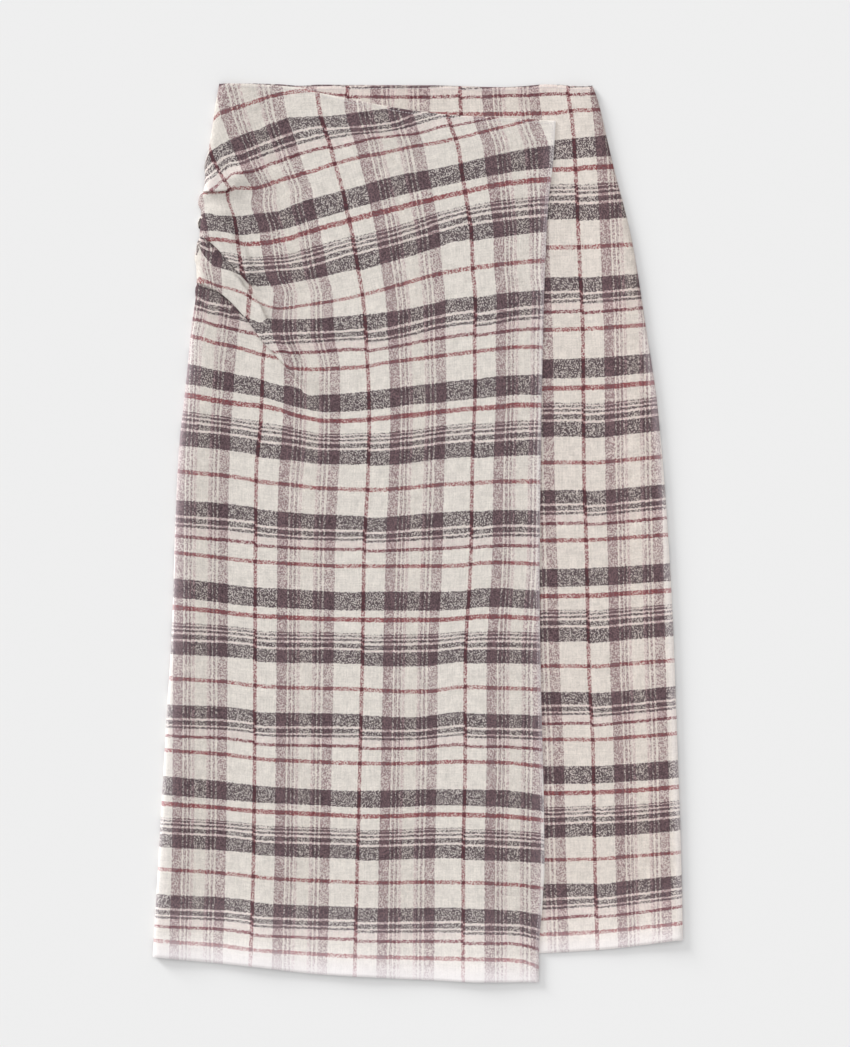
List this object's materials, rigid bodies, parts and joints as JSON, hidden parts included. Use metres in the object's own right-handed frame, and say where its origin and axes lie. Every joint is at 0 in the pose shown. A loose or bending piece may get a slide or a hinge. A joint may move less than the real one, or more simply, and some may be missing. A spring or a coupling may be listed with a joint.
{
  "type": "wrap skirt",
  "caption": "Plaid midi wrap skirt laid flat, with draped side pleats at the left hip and a free wrap edge over a shorter under front.",
  "frame": {"origin": "middle of the laid skirt's length and width, on the surface that it lies on", "axes": "+X to the right as the front is seen, +Y from the hem to the waist, +Z out of the front face"},
  "size_m": [0.5307, 0.8993, 0.0097],
  "materials": {
    "back_cloth": "brushed plaid weave, matte",
    "under_front_cloth": "brushed plaid weave in ivory, mauve, dark brown-grey and red, matte",
    "over_front_cloth": "brushed plaid weave in ivory, mauve, dark brown-grey and red, matte"
  },
  "bodies": {
    "root": {"back_panel": "back_cloth", "front_under_panel": "under_front_cloth", "front_over_panel": "over_front_cloth"}
  },
  "joints": []
}
